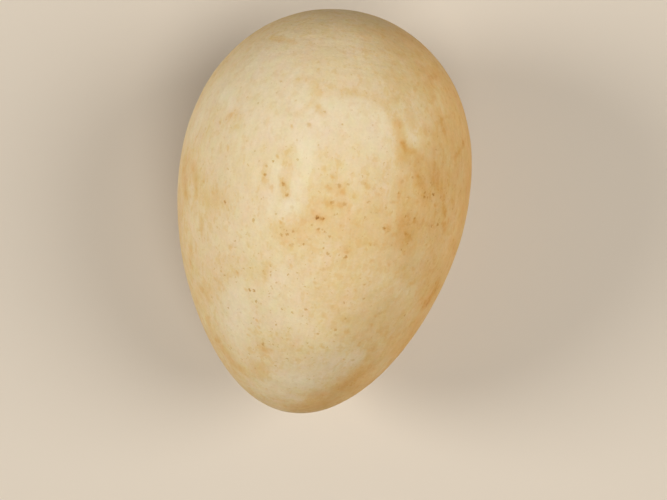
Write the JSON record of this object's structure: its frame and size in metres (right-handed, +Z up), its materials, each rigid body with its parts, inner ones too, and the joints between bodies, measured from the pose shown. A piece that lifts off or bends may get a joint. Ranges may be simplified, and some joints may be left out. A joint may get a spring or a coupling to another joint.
{
  "type": "bird egg",
  "caption": "Smooth matte bird's egg, blunt at its +Y end and pointed at the other, lying on its side on a small flat resting spot.",
  "frame": {"origin": "on the small flat spot that the egg rests on, straight under its centre of mass", "axes": "+Z up; +Y along the egg's length towards its blunt end; +X across it, to the right when looking along +Y"},
  "size_m": [0.052, 0.0727, 0.0521],
  "materials": {
    "eggshell": "matte, with a soft sheen, fine pores and rust-brown stains"
  },
  "bodies": {
    "root": {"egg": "eggshell"}
  },
  "joints": []
}
